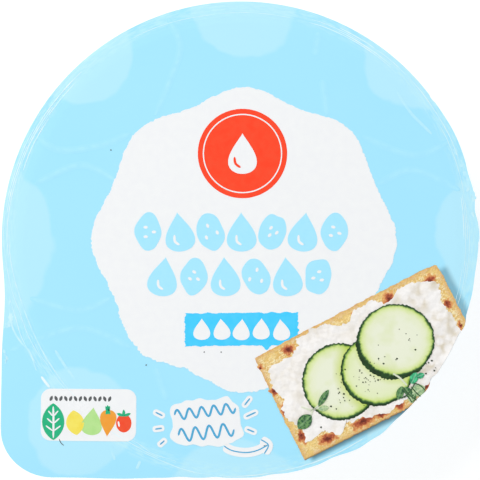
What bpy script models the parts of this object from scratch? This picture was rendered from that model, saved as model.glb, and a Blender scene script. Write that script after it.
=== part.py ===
"""A shut pot of cottage cheese: a round moulded tub, full, and the film lid sealed on its flange.

Run with blender --background --python part.py. Metres, +Z up, the origin at the middle of the foot.
The pull tab of the lid points to -X -Y.
"""

import math

import bmesh
import bpy
from mathutils import Vector

MM = 0.001

# Driving dimensions of the tub
TUB_HEIGHT = 45.0 * MM
FLANGE_RADIUS = 47.2 * MM
FLANGE_INNER_RADIUS = 43.6 * MM
FLANGE_THICKNESS = 1.0 * MM
FLANGE_ROUND = 0.4 * MM
SKIRT_DEPTH = 2.6 * MM
SKIRT_WALL = 0.8 * MM
FILL_BELOW_FLANGE = 2.0 * MM
NECK_RADIUS = 43.5 * MM
BAND_HEIGHT = 8.4 * MM
BAND_DRAFT = 0.6 * MM
SHOULDER_STEP = 1.9 * MM
SHOULDER_ROUND = 0.8 * MM
WALL_FOOT_RADIUS = 36.2 * MM
WALL_DRAFT = 8  # degrees
FOOT_ROUND = 2.5 * MM
FOOT_RING_WIDTH = 1.6 * MM
BASE_RECESS = 1.3 * MM
BASE_CROWN = 0.4 * MM

# Driving dimensions of the film lid
LID_RADIUS = 48.0 * MM
TAB_CORNER_RADIUS = 10.0 * MM
FILM_THICKNESS = 0.3 * MM
SEAL_GAP = 0.3 * MM
FILM_SAG = 0.7 * MM
SEAL_RIDGES = 3
SEAL_RIDGE_PITCH = 0.55 * MM
SEAL_RIDGE_HEIGHT = 0.15 * MM
SEAL_FIRST_RIDGE_RADIUS = 45.2 * MM
TAB_DROOP = 1.3 * MM
TAB_REACH = 16.0 * MM

# Uneven places of the lid's trimmed edge: direction and half width in degrees, and how far it stands out
EDGE_BUMPS = (
    (26, 8, 0.2 * MM),
    (192, 12, -0.65 * MM),
    (302, 9, 0.45 * MM),
    (350, 9, -0.2 * MM),
)

SIDES = 72
OVERHANG_RINGS = 3
POLE_MERGE = 1e-6

TUB_WHITE = (0.90, 0.92, 0.93, 1.0)
FILM_BLUE = (0.40, 0.80, 0.99, 1.0)


def clear_scene():
    for found in list(bpy.data.objects):
        bpy.data.objects.remove(found, do_unlink=True)


def plastic(name, colour, roughness):
    """A plain moulded or cast plastic."""
    material = bpy.data.materials.new(name)
    material.use_nodes = True
    shader = material.node_tree.nodes["Principled BSDF"]
    shader.inputs["Base Color"].default_value = colour
    shader.inputs["Roughness"].default_value = roughness
    shader.inputs["Metallic"].default_value = 0.0
    material.diffuse_color = colour
    return material


def arc(centre, radius, start, end, steps):
    """Points of a profile's round corner, from angle start to angle end in degrees."""
    points = []
    for step in range(steps + 1):
        angle = math.radians(start + (end - start) * step / steps)
        points.append((centre[0] + radius * math.cos(angle), centre[1] + radius * math.sin(angle)))
    return points


def turned(profile):
    """A mesh turned about Z from (radius, height) points, with its ends closed where they meet the axis."""
    mesh = bmesh.new()
    verts = [mesh.verts.new((radius, 0.0, height)) for radius, height in profile]
    edges = [mesh.edges.new(pair) for pair in zip(verts, verts[1:])]
    bmesh.ops.spin(
        mesh,
        geom=verts + edges,
        cent=(0, 0, 0),
        axis=(0, 0, 1),
        angle=math.tau,
        steps=SIDES,
        use_merge=True,
    )
    bmesh.ops.remove_doubles(mesh, verts=mesh.verts, dist=POLE_MERGE)
    return mesh


def add_object(name, mesh, material, sharp_degrees):
    data = bpy.data.meshes.new(name)
    bmesh.ops.recalc_face_normals(mesh, faces=mesh.faces)
    mesh.to_mesh(data)
    mesh.free()
    data.materials.append(material)
    data.shade_smooth()
    data.set_sharp_from_angle(angle=math.radians(sharp_degrees))
    made = bpy.data.objects.new(name, data)
    bpy.context.scene.collection.objects.link(made)
    return made


def tub_profile():
    """From the middle of the filling's top, over the flange, down the wall, to the middle of the base."""
    fill_top = TUB_HEIGHT - FILL_BELOW_FLANGE
    skirt_bottom = TUB_HEIGHT - SKIRT_DEPTH
    skirt_inside = FLANGE_RADIUS - SKIRT_WALL
    flange_underside = TUB_HEIGHT - FLANGE_THICKNESS
    band_bottom = TUB_HEIGHT - BAND_HEIGHT
    band_foot_radius = NECK_RADIUS - BAND_DRAFT
    wall_top_radius = band_foot_radius - SHOULDER_STEP
    foot_outer = WALL_FOOT_RADIUS - FOOT_ROUND
    foot_inner = foot_outer - FOOT_RING_WIDTH

    flange_corner = (FLANGE_RADIUS - FLANGE_ROUND, TUB_HEIGHT - FLANGE_ROUND)
    shoulder_corner = (band_foot_radius - SHOULDER_ROUND, band_bottom + SHOULDER_ROUND)
    shoulder_fillet = (wall_top_radius + SHOULDER_ROUND, band_bottom - SHOULDER_ROUND)

    profile = [(0.0, fill_top), (FLANGE_INNER_RADIUS - FLANGE_ROUND, fill_top)]
    profile += [(FLANGE_INNER_RADIUS, TUB_HEIGHT)]
    profile += arc(flange_corner, FLANGE_ROUND, 90, 0, 3)
    profile += [(FLANGE_RADIUS, skirt_bottom), (skirt_inside, skirt_bottom)]
    profile += [(skirt_inside, flange_underside), (NECK_RADIUS + FLANGE_ROUND, flange_underside)]
    profile += [(NECK_RADIUS, flange_underside - FLANGE_ROUND)]
    profile += arc(shoulder_corner, SHOULDER_ROUND, 0, -75, 3)
    profile += arc(shoulder_fillet, SHOULDER_ROUND, 105, 180 - WALL_DRAFT, 3)
    profile += arc((foot_outer, FOOT_ROUND), FOOT_ROUND, -WALL_DRAFT, -90, 5)
    profile += [(foot_inner, 0.0), (foot_inner - BASE_RECESS, BASE_RECESS)]
    profile += [(0.0, BASE_RECESS + BASE_CROWN)]
    return profile


def make_tub():
    add_object("tub", turned(tub_profile()), plastic("white polypropylene", TUB_WHITE, 0.35), 30)


def bump(value, middle, half_width):
    """1 at the middle, falling smoothly to 0 at half_width on either side."""
    share = abs(value - middle) / half_width
    return 0.5 + 0.5 * math.cos(math.pi * share) if share < 1 else 0.0


def tab_edge(share):
    """A point of the tab's edge: a third of the way on each straight side, a third round the corner."""
    straight = LID_RADIUS - TAB_CORNER_RADIUS
    thirds = 3 * share
    if thirds <= 1:
        return Vector((-LID_RADIUS, -straight * thirds, 0.0))
    if thirds >= 2:
        return Vector((-straight * (3 - thirds), -LID_RADIUS, 0.0))
    turn = math.radians(180 + 90 * (thirds - 1))
    corner = Vector((-straight, -straight, 0.0))
    return corner + TAB_CORNER_RADIUS * Vector((math.cos(turn), math.sin(turn), 0.0))


def trimmed_edge(direction):
    """A point of the lid's edge, for a direction in degrees."""
    turn = math.radians(direction)
    point = LID_RADIUS * Vector((math.cos(turn), math.sin(turn), 0.0))
    if 180 < direction < 270:
        point = tab_edge((direction - 180) / 90)
        direction = math.degrees(math.atan2(point.y, point.x)) % 360
    for middle, half_width, height in EDGE_BUMPS:
        point += height * bump(direction, middle, half_width) * point.normalized()
    return point


def film_height(point):
    """Height of the film over its flat seal: it sags inside the flange and droops past it."""
    radius = point.xy.length
    if radius < FLANGE_INNER_RADIUS:
        return -FILM_SAG * (1 - (radius / FLANGE_INNER_RADIUS) ** 2)
    height = 0.0
    for ridge in range(SEAL_RIDGES):
        ridge_radius = SEAL_FIRST_RIDGE_RADIUS + ridge * SEAL_RIDGE_PITCH
        height += SEAL_RIDGE_HEIGHT * bump(radius, ridge_radius, 0.5 * SEAL_RIDGE_PITCH)
    past = max(0.0, radius - FLANGE_RADIUS)
    return height - TAB_DROOP * (past / TAB_REACH) ** 2


def ring_radii():
    """The film's rings from its middle to the flange's edge, with one at each seal ridge and valley."""
    open_rings = 6
    radii = [FLANGE_INNER_RADIUS * ring / open_rings for ring in range(open_rings + 1)]
    for half_step in range(2 * SEAL_RIDGES + 1):
        radii.append(SEAL_FIRST_RIDGE_RADIUS + 0.5 * (half_step - 1) * SEAL_RIDGE_PITCH)
    return radii + [FLANGE_RADIUS]


def add_overhang(mesh):
    """Grows the disc in rings from the flange's edge out to the trimmed edge."""
    rim = [edge for edge in mesh.edges if edge.is_boundary]
    rings = []
    for _ in range(OVERHANG_RINGS):
        grown = bmesh.ops.extrude_edge_only(mesh, edges=rim)["geom"]
        rim = [part for part in grown if isinstance(part, bmesh.types.BMEdge)]
        rings.append([part for part in grown if isinstance(part, bmesh.types.BMVert)])
    for ring, verts in enumerate(rings, 1):
        for vert in verts:
            direction = math.degrees(math.atan2(vert.co.y, vert.co.x)) % 360
            vert.co = vert.co.lerp(trimmed_edge(direction), ring / OVERHANG_RINGS)


def make_lid():
    mesh = turned([(radius, 0.0) for radius in ring_radii()])
    add_overhang(mesh)
    for vert in mesh.verts:
        vert.co.z = TUB_HEIGHT + SEAL_GAP + film_height(vert.co)
    film = bmesh.ops.extrude_face_region(mesh, geom=mesh.faces[:], use_keep_orig=True)["geom"]
    top = [part for part in film if isinstance(part, bmesh.types.BMVert)]
    bmesh.ops.translate(mesh, verts=top, vec=(0, 0, FILM_THICKNESS))
    add_object("lid", mesh, plastic("printed polyester film", FILM_BLUE, 0.3), 40)


clear_scene()
make_tub()
make_lid()
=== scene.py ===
import math
import random

import bmesh
import bpy
from mathutils import Matrix, Vector, noise


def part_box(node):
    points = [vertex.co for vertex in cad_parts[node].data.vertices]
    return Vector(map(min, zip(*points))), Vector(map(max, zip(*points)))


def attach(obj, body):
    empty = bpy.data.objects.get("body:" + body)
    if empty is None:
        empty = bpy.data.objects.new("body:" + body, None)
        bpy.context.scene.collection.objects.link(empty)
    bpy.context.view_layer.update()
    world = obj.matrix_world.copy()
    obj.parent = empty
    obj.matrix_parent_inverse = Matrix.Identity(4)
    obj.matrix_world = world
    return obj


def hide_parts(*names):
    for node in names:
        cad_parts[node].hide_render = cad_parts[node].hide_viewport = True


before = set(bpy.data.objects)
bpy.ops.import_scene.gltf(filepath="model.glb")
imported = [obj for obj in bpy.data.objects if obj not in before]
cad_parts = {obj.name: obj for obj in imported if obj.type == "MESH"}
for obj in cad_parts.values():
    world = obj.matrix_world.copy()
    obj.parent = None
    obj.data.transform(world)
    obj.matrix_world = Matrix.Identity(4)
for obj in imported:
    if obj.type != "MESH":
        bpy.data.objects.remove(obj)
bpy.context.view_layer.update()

# The tub: white polypropylene, injection moulded in one piece, with a flange that the lid is sealed
# on, a stacking shoulder and a foot ring. Its wall carries a sleeve of light blue print. It is full,
# so it is closed by its filling just under the lid.

MM = 0.001
TUB_STEPS = 240
TUB_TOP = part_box("tub")[1].z
FLANGE_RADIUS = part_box("tub")[1].x
FLANGE_INNER_RADIUS = FLANGE_RADIUS - 3.6 * MM
NECK_RADIUS = FLANGE_RADIUS - 3.7 * MM
SKIRT_BOTTOM = TUB_TOP - 2.6 * MM
SKIRT_INSIDE = FLANGE_RADIUS - 0.8 * MM
FLANGE_UNDERSIDE = TUB_TOP - 1.0 * MM
SHOULDER_HEIGHT = TUB_TOP - 8.4 * MM
SHOULDER_OUTER = NECK_RADIUS - 0.6 * MM
SHOULDER_INNER = SHOULDER_OUTER - 1.9 * MM
SHOULDER_ROUND = 0.8 * MM
WALL_DRAFT = 8
FOOT_ROUND = 2.5 * MM
FOOT_OUTER = 33.7 * MM
FOOT_INNER = 32.1 * MM
BASE_RECESS = 1.3 * MM
BASE_CROWN = 0.5 * MM
PANEL_RADIUS = FOOT_INNER - 8.4 * MM
GATE_RADIUS = 1.5 * MM
FILL_TOP = TUB_TOP - 2.0 * MM
RIM_ROUND = 0.3 * MM
EDGE_ROUND = 0.4 * MM
LIP_ROUND = 0.2 * MM
SLEEVE_BOTTOM = 5.0 * MM
SLEEVE_TOP = SHOULDER_HEIGHT - 2.6 * MM
SLEEVE_ROUGH = 1.6 * MM
SLEEVE_PETAL = 8.5 * MM

TUB_WHITE = "f1f3f4"
FILM_BLUE = "a4e6ff"
FILM_PALE = "b5ebfe"


def linear(colour):
    """An sRGB hex colour as linear red, green, blue and alpha."""
    shares = [int(colour[place : place + 2], 16) / 255 for place in (0, 2, 4)]
    return [s / 12.92 if s <= 0.04045 else ((s + 0.055) / 1.055) ** 2.4 for s in shares] + [1.0]


def add_node(tree, kind, inputs, output=0, **settings):
    """Adds a node, sets it up, sets or links its inputs, colours as hex, and returns an output."""
    made = tree.nodes.new("ShaderNode" + kind)
    for name, value in settings.items():
        setattr(made, name, value)
    for socket, value in inputs.items():
        if isinstance(value, bpy.types.NodeSocket):
            tree.links.new(value, made.inputs[socket])
        else:
            made.inputs[socket].default_value = linear(value) if isinstance(value, str) else value
    return made.outputs[output]


def new_material(name, roughness, ior):
    """A material's node tree and its shader, with the numbers that are the same all over it."""
    material = bpy.data.materials.new(name)
    material.use_nodes = True
    shader = material.node_tree.nodes["Principled BSDF"]
    shader.inputs["Roughness"].default_value = roughness
    shader.inputs["IOR"].default_value = ior
    return material, material.node_tree, shader


def arc(centre, radius, start, end, steps):
    """Points of a profile's round corner, from angle start to angle end in degrees."""
    turns = [math.radians(start + (end - start) * step / steps) for step in range(steps + 1)]
    return [(centre[0] + radius * math.cos(t), centre[1] + radius * math.sin(t)) for t in turns]


def turned(profile, steps):
    """A mesh turned about Z from (radius, height) points."""
    mesh = bmesh.new()
    points = [mesh.verts.new((radius, 0.0, height)) for radius, height in profile]
    lines = [mesh.edges.new(pair) for pair in zip(points, points[1:])]
    bmesh.ops.spin(
        mesh, geom=points + lines, cent=(0, 0, 0), axis=(0, 0, 1), angle=math.tau, steps=steps, use_merge=True
    )
    bmesh.ops.remove_doubles(mesh, verts=mesh.verts, dist=0.0001 * MM)
    return mesh


def finish_piece(name, mesh, material, sharp_degrees=40):
    """Makes the object, shades it smooth, and lets it ride on the pot."""
    data = bpy.data.meshes.new(name)
    mesh.to_mesh(data)
    mesh.free()
    data.materials.append(material)
    data.shade_smooth()
    data.set_sharp_from_angle(angle=math.radians(sharp_degrees))
    piece = bpy.data.objects.new(name, data)
    bpy.context.scene.collection.objects.link(piece)
    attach(piece, "root")
    return piece


# The rounds of the profile, from inside the flange down to the foot ring: centre, radius, first and
# last angle, and steps
TUB_ROUNDS = (
    ((FLANGE_INNER_RADIUS + RIM_ROUND, TUB_TOP - RIM_ROUND), RIM_ROUND, 180, 90, 4),
    ((FLANGE_RADIUS - EDGE_ROUND, TUB_TOP - EDGE_ROUND), EDGE_ROUND, 90, 0, 6),
    ((FLANGE_RADIUS - LIP_ROUND, SKIRT_BOTTOM + LIP_ROUND), LIP_ROUND, 0, -90, 4),
    ((SKIRT_INSIDE + LIP_ROUND, SKIRT_BOTTOM + LIP_ROUND), LIP_ROUND, -90, -180, 4),
    ((SKIRT_INSIDE - EDGE_ROUND, FLANGE_UNDERSIDE - EDGE_ROUND), EDGE_ROUND, 0, 90, 4),
    ((NECK_RADIUS + EDGE_ROUND, FLANGE_UNDERSIDE - EDGE_ROUND), EDGE_ROUND, 90, 180, 4),
    ((SHOULDER_OUTER - SHOULDER_ROUND, SHOULDER_HEIGHT + SHOULDER_ROUND), SHOULDER_ROUND, 0, -75, 8),
    (
        (SHOULDER_INNER + SHOULDER_ROUND, SHOULDER_HEIGHT - SHOULDER_ROUND),
        SHOULDER_ROUND,
        105,
        180 - WALL_DRAFT,
        8,
    ),
    ((FOOT_OUTER, FOOT_ROUND), FOOT_ROUND, -WALL_DRAFT, -90, 10),
    ((FOOT_INNER, EDGE_ROUND), EDGE_ROUND, -90, -150, 4),
    ((FOOT_INNER - BASE_RECESS - LIP_ROUND, BASE_RECESS - EDGE_ROUND), EDGE_ROUND, 30, 90, 4),
)

tub_profile = [(0.0, FILL_TOP), (FLANGE_INNER_RADIUS - 2 * RIM_ROUND, FILL_TOP)]
for tub_round in TUB_ROUNDS:
    tub_profile += arc(*tub_round)
tub_profile += [(PANEL_RADIUS + 0.4 * MM, BASE_RECESS + 0.1 * MM), (PANEL_RADIUS, BASE_RECESS + 0.3 * MM)]
tub_profile += [(GATE_RADIUS + 2 * LIP_ROUND, BASE_RECESS + BASE_CROWN)]
tub_profile += arc((GATE_RADIUS - LIP_ROUND, BASE_RECESS + LIP_ROUND), LIP_ROUND, 0, -90, 3)
tub_profile += [(0.0, BASE_RECESS)]

# Polypropylene, moulded and printed: a soft gloss with a faint orange peel, drawn coarser than the
# real one so that it shows, and the print as smooth as the wall. The sleeve of print ends in rough
# brushed edges, and pale petals stand in its blue, in a ring at each edge.
polypropylene, tree, shader = new_material("moulded polypropylene", 0.3, 1.49)
place = add_node(tree, "TexCoord", {}, output="Object")
axes = {axis: add_node(tree, "SeparateXYZ", {0: place}, output=axis) for axis in "XYZ"}
bristles = {"Vector": place, "Scale": 1 / SLEEVE_ROUGH, "Detail": 4.0}
bristles = add_node(tree, "TexNoise", bristles, output="Fac")
brushed = add_node(tree, "Math", {0: bristles, 1: SLEEVE_ROUGH, 2: axes["Z"]}, operation="MULTIPLY_ADD")
sleeve = 1.0
for level, soft in ((SLEEVE_BOTTOM, 0.05 * MM), (SLEEVE_TOP, -0.05 * MM)):
    edge = level + SLEEVE_ROUGH / 2
    inside = add_node(tree, "MapRange", {0: brushed, 1: edge, 2: edge + soft})
    sleeve = add_node(tree, "Math", {0: inside, 1: sleeve}, operation="MULTIPLY")
turn = add_node(tree, "Math", {0: axes["Y"], 1: axes["X"]}, operation="ARCTAN2")
wobble = add_node(tree, "TexNoise", {"Vector": place, "Scale": 1 / (7 * MM), "Detail": 2.0}, output="Fac")
nearest = 1.0
for first, level in ((0.0, SLEEVE_TOP + 3 * MM), (math.pi / 8, SLEEVE_BOTTOM - 3 * MM)):
    ahead = add_node(tree, "Math", {0: turn, 1: math.pi / 8 - first}, operation="ADD")
    snapped = add_node(tree, "Math", {0: ahead, 1: math.pi / 4}, operation="SNAP")
    beside = add_node(tree, "Math", {0: ahead, 1: snapped}, operation="SUBTRACT")
    beside = add_node(tree, "Math", {0: beside, 1: math.pi / 8}, operation="SUBTRACT")
    beside = add_node(tree, "Math", {0: beside, 1: FOOT_OUTER + FOOT_ROUND}, operation="MULTIPLY")
    above = add_node(tree, "Math", {0: axes["Z"], 1: level}, operation="SUBTRACT")
    aside = add_node(tree, "CombineXYZ", {"X": beside, "Y": above})
    reach = add_node(tree, "VectorMath", {0: aside}, output="Value", operation="LENGTH")
    nearest = add_node(tree, "Math", {0: reach, 1: nearest}, operation="MINIMUM")
petal_edge = add_node(tree, "Math", {0: wobble, 1: 3.5 * MM, 2: nearest}, operation="MULTIPLY_ADD")
petal = add_node(tree, "MapRange", {0: petal_edge, 1: SLEEVE_PETAL + 2.4 * MM, 2: SLEEVE_PETAL + 1.8 * MM})
ground = add_node(tree, "MixRGB", {"Fac": petal, "Color1": FILM_BLUE, "Color2": FILM_PALE})
printed = add_node(tree, "MixRGB", {"Fac": sleeve, "Color1": TUB_WHITE, "Color2": ground})
tree.links.new(printed, shader.inputs["Base Color"])
peel = add_node(tree, "TexNoise", {"Vector": place, "Scale": 1 / (0.8 * MM), "Detail": 2.0}, output="Fac")
bumped = add_node(tree, "Bump", {"Height": peel, "Distance": 0.004 * MM, "Strength": 1.0})
tree.links.new(bumped, shader.inputs["Normal"])

tub_mesh = turned(tub_profile, TUB_STEPS)
bmesh.ops.recalc_face_normals(tub_mesh, faces=tub_mesh.faces)
tub_piece = finish_piece("moulded_tub", tub_mesh, polypropylene, 35)
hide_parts("tub")

# The lid: a polyester film, printed, die cut with a square pull tab and heat sealed on the flange.
# The seal's jaws press five fine rings into it, and the film is taut and sags a little inside them.
# Its edge is a little wavy on the right.

LID_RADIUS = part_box("lid")[1].x
TAB_CORNER_RADIUS = 10.0 * MM
FILM_STEPS = 432
FILM_THICKNESS = 0.12 * MM
FILM_SEAT = TUB_TOP + 0.02 * MM
FILM_SAG = 0.7 * MM
SEAL_RINGS = (45.2 * MM, 45.55 * MM, 45.9 * MM, 46.25 * MM, 46.6 * MM)
SEAL_RING_WIDTH = 0.3 * MM
SEAL_RING_HEIGHT = 0.01 * MM
SEAL_CRUMPLE = 0.012 * MM
TAB_DROOP = 1.3 * MM
TAB_REACH = 16.0 * MM
SAG_WAVE = 0.05 * MM
EDGE_RIPPLE = 0.3 * MM
OVERHANG = 0.5 * MM
OVERHANG_STEPS = 16
OVERHANG_START = LID_RADIUS - OVERHANG

# The rings of the film's mesh up to the overhang: radius they start at, and how far apart, in mm
FILM_RINGS = ((0.0, 2.0), (42.0, 0.22), (44.2, 0.11))

# How far the rings lie off their circle: direction in degrees and distance outwards in mm
SEAL_DRIFT = (
    (0, -0.1), (28, 0.4), (50, 0.5), (68, 0.45), (80, -0.2), (98, -0.3), (115, 0.0), (138, 0.2),
    (160, 0.6), (177, 1.0), (196, 0.4), (222, 0.65), (240, 0.3), (262, 1.2), (285, 0.7), (307, 0.5),
    (340, -0.1), (360, -0.1),
)

# Uneven places of the cut edge: direction, half width in degrees, and how far it stands out
EDGE_BUMPS = (
    (1, 4, 0.2 * MM), (7, 3.2, -0.33 * MM), (16, 4, -0.2 * MM), (26, 9, 0.18 * MM),
    (36.3, 1.2, -0.2 * MM), (125, 80, -0.15 * MM), (194, 14, -0.65 * MM), (219, 12, 0.35 * MM),
    (243, 9, 0.2 * MM), (256, 4, -0.2 * MM), (264, 3, -0.18 * MM), (278, 4, -0.25 * MM),
    (293, 4, -0.25 * MM), (300, 5, 0.38 * MM), (306, 5, 0.42 * MM), (321, 3, 0.3 * MM),
    (324, 2, -0.4 * MM), (339, 3, 0.45 * MM), (352, 6, -0.2 * MM),
)


def bump(value, middle, half_width):
    """1 at the middle, falling smoothly to 0 at half_width on either side."""
    share = abs(value - middle) / half_width
    return 0.5 + 0.5 * math.cos(math.pi * share) if share < 1 else 0.0


def rounded_reach(angle, half_width, half_height, corner):
    """How far the edge of a rectangle with round corners is from its middle, for an angle."""
    across, up = abs(math.cos(angle)), abs(math.sin(angle))
    reach = min(half_width / max(across, 1e-9), half_height / max(up, 1e-9))
    straight = (half_width - corner, half_height - corner)
    if reach * across > straight[0] and reach * up > straight[1]:
        along = straight[0] * across + straight[1] * up
        reach = along + math.sqrt(along**2 - straight[0] ** 2 - straight[1] ** 2 + corner**2)
    return reach


def trimmed_edge(direction):
    """How far the cut edge is from the middle, for a direction in degrees."""
    direction %= 360
    reach = LID_RADIUS
    if 180 < direction < 270:
        reach = rounded_reach(math.radians(direction), LID_RADIUS, LID_RADIUS, TAB_CORNER_RADIUS)
    for middle, half_width, height in EDGE_BUMPS:
        reach += height * bump(direction, middle, half_width)
    return reach


def seal_drift(direction):
    """How far the seal's rings lie off their circle, for a direction in degrees."""
    direction %= 360
    leg = max(place for place, (start, _) in enumerate(SEAL_DRIFT[:-1]) if start <= direction)
    (start, before), (end, after) = SEAL_DRIFT[leg : leg + 2]
    share = 0.5 - 0.5 * math.cos(math.pi * (direction - start) / (end - start))
    return (before + (after - before) * share) * MM


def film_top(x, y):
    """Height of the film's upper face."""
    radius = math.hypot(x, y)
    if radius < FLANGE_INNER_RADIUS:
        slack = 1 - (radius / FLANGE_INNER_RADIUS) ** 2
        wave = SAG_WAVE * noise.noise(Vector((x, y, 0)) / (14 * MM))
        return FILM_SEAT + FILM_THICKNESS + (wave - FILM_SAG) * slack
    rise = 0.0
    turn = math.atan2(y, x)
    seal_radius = radius - seal_drift(math.degrees(turn))
    for ring in SEAL_RINGS:
        swell = 0.6 + 0.8 * noise.noise(Vector((3 * math.cos(turn), 3 * math.sin(turn), ring / MM)))
        rise += SEAL_RING_HEIGHT * swell * bump(seal_radius, ring, SEAL_RING_WIDTH / 2)
    in_band = bump(seal_radius, 46.1 * MM, 2.2 * MM)
    crumple = Vector((14 * math.cos(turn), 14 * math.sin(turn), seal_radius / (0.5 * MM)))
    rise += SEAL_CRUMPLE * in_band * noise.noise(crumple)
    past = max(0.0, radius - FLANGE_RADIUS)
    rise -= TAB_DROOP * (past / TAB_REACH) ** 2
    wavy = 0.25 + 0.75 * bump(math.degrees(turn), -20, 60)
    ripple = noise.noise(Vector((6 * math.cos(turn), 6 * math.sin(turn), 5.0)))
    rise += EDGE_RIPPLE * wavy * ripple * min(1.0, past / (0.8 * MM))
    return FILM_SEAT + FILM_THICKNESS + rise


def spread(start, end, step):
    """Values from start up to end, not with it, about a step apart."""
    count = max(1, round((end - start) / step))
    return [start + (end - start) * place / count for place in range(count)]


film_radii = []
ring_ends = [start * MM for start, _ in FILM_RINGS[1:]] + [OVERHANG_START]
for (start, step), end in zip(FILM_RINGS, ring_ends):
    film_radii += spread(start * MM, end, step * MM)
film_radii += [OVERHANG_START + OVERHANG * step / OVERHANG_STEPS for step in range(OVERHANG_STEPS + 1)]
film_mesh = turned([(radius, 0.0) for radius in film_radii], FILM_STEPS)
for vert in film_mesh.verts:
    radius = vert.co.xy.length
    if radius > OVERHANG_START:
        direction = math.degrees(math.atan2(vert.co.y, vert.co.x))
        share = (radius - OVERHANG_START) / OVERHANG
        reach = OVERHANG_START + share * (trimmed_edge(direction) - OVERHANG_START)
        vert.co = vert.co * (reach / radius)
    vert.co.z = film_top(vert.co.x, vert.co.y) - FILM_THICKNESS
film = bmesh.ops.extrude_face_region(film_mesh, geom=film_mesh.faces[:], use_keep_orig=True)["geom"]
upper = [part for part in film if isinstance(part, bmesh.types.BMVert)]
bmesh.ops.translate(film_mesh, verts=upper, vec=(0, 0, FILM_THICKNESS))
bmesh.ops.recalc_face_normals(film_mesh, faces=film_mesh.faces)

# The eight petals round the rim: middle and half width and height, in mm
PETALS = (
    ((51.0, 1.0), (11.9, 13.0)), ((35.5, 36.5), (10.5, 10.5)), ((0.7, 47.7), (10.6, 11.4)),
    ((-32.0, 38.0), (10.5, 10.5)), ((-50.0, -1.0), (12.2, 17.0)), ((-32.2, -36.8), (10.5, 11.0)),
    ((-1.0, -51.0), (13.5, 11.0)), ((36.0, -38.0), (10.5, 10.5)),
)
BAND_INSIDE = 44.6 * MM
BAND_SHOWS = 46.4 * MM
BAND_FADES = 47.9 * MM
BAND_OUTSIDE = 49.0 * MM
BAND_STRENGTH = 0.6
LACQUER_IOR = 1.42

# The serving picture's crispbread lies here, and casts a printed shadow on the ground, fainter beside
# it than below it.
BREAD_MIDDLE = (26.5, -25.0)
BREAD_TURN = 26.4
SHADOW_SHIFT = (1.4 * MM, -0.65 * MM)
SHADOW_HALF = (20.8 * MM, 11.5 * MM)
SHADOW_BLUR = 0.75 * MM
SHADOW_BESIDE = 0.55


def lacquered(name):
    """A new material under the film's clear lacquer with its faint ripples, and its coordinates."""
    material, tree, shader = new_material(name, 0.3, LACQUER_IOR)
    place = add_node(tree, "TexCoord", {}, output="Object")
    ripples = {"Vector": place, "Scale": 1 / (3 * MM), "Detail": 3.0}
    ripples = add_node(tree, "TexNoise", ripples, output="Fac")
    normal = add_node(tree, "Bump", {"Height": ripples, "Distance": 0.02 * MM, "Strength": 1.0})
    tree.links.new(normal, shader.inputs["Normal"])
    return material, tree, shader, place


def distance(tree, place, middle=(0.0, 0.0), stretch=(1.0, 1.0)):
    """How far a place is from a middle, given in mm, seen from above, with x and y stretched."""
    middle = (middle[0] * MM, middle[1] * MM, 0.0)
    aside = add_node(tree, "VectorMath", {0: place, 1: middle}, operation="SUBTRACT")
    aside = add_node(tree, "VectorMath", {0: aside, 1: stretch + (0.0,)}, operation="MULTIPLY")
    return add_node(tree, "VectorMath", {0: aside}, output="Value", operation="LENGTH")


def patches(tree, place, grain, low, high, strength=1.0, **pattern):
    """Random patches about a grain wide, which rise from 0 to strength between two noise levels."""
    spots = {"Vector": place, "Scale": 1 / grain, "Detail": 3.0} | pattern
    spots = add_node(tree, "TexNoise", spots, output="Fac")
    return add_node(tree, "MapRange", {0: spots, 1: low, 2: high, 4: strength})


# Polyester film, reverse printed in light blue under a clear lacquer: a satin gloss. The blue is a
# little uneven, with eight paler petals round the rim, the sealed band streaked paler, partly as the
# jaws stretched it and partly as painted sheen on the seal's rings, and the crispbread's soft shadow.
polyester, tree, shader, place = lacquered("printed polyester film")
wobble = add_node(tree, "TexNoise", {"Vector": place, "Scale": 1 / (7 * MM), "Detail": 2.0}, output="Fac")
nearest = 2.0
for middle, half_size in PETALS:
    reach = distance(tree, place, middle, (1 / (half_size[0] * MM), 1 / (half_size[1] * MM)))
    nearest = add_node(tree, "Math", {0: reach, 1: nearest}, operation="MINIMUM")
petal_edge = add_node(tree, "Math", {0: wobble, 1: 0.36, 2: nearest}, operation="MULTIPLY_ADD")
petal = add_node(tree, "MapRange", {0: petal_edge, 1: 1.22, 2: 1.13}, interpolation_type="SMOOTHSTEP")
cloud = patches(tree, place, 22 * MM, 0.3, 0.7, 0.25)
radius = distance(tree, place)
around = add_node(tree, "VectorMath", {0: place, 1: (1.0, 1.0, 0.0)}, operation="MULTIPLY")
around = add_node(tree, "VectorMath", {0: around}, operation="NORMALIZE")
around = add_node(tree, "VectorMath", {0: around, "Scale": 24.0}, operation="SCALE")
outward = add_node(tree, "Math", {0: radius, 1: 1 / (0.35 * MM)}, operation="MULTIPLY")
outward = add_node(tree, "CombineXYZ", {"Z": outward})
around = add_node(tree, "VectorMath", {0: around, 1: outward}, operation="ADD")
streaks = patches(tree, around, 1.0, 0.4, 0.62)
# The band's paler streaks: partly stretched print, partly painted sheen on the seal's rings.
band = add_node(tree, "MapRange", {0: radius, 1: BAND_INSIDE, 2: BAND_SHOWS, 4: BAND_STRENGTH})
within = add_node(tree, "MapRange", {0: radius, 1: BAND_FADES, 2: BAND_OUTSIDE, 3: 1.0, 4: 0.0})
for share in (within, streaks):
    band = add_node(tree, "Math", {0: band, 1: share}, operation="MULTIPLY")
bread_frame = {
    "Vector": place,
    "Location": (BREAD_MIDDLE[0] * MM, BREAD_MIDDLE[1] * MM, 0.0),
    "Rotation": (0.0, 0.0, math.radians(BREAD_TURN)),
}
in_bread = add_node(tree, "Mapping", bread_frame, vector_type="TEXTURE")
below = add_node(tree, "SeparateXYZ", {0: in_bread}, output="Y")
in_bread = add_node(tree, "VectorMath", {0: in_bread, 1: SHADOW_SHIFT + (0.0,)}, operation="SUBTRACT")
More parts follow.
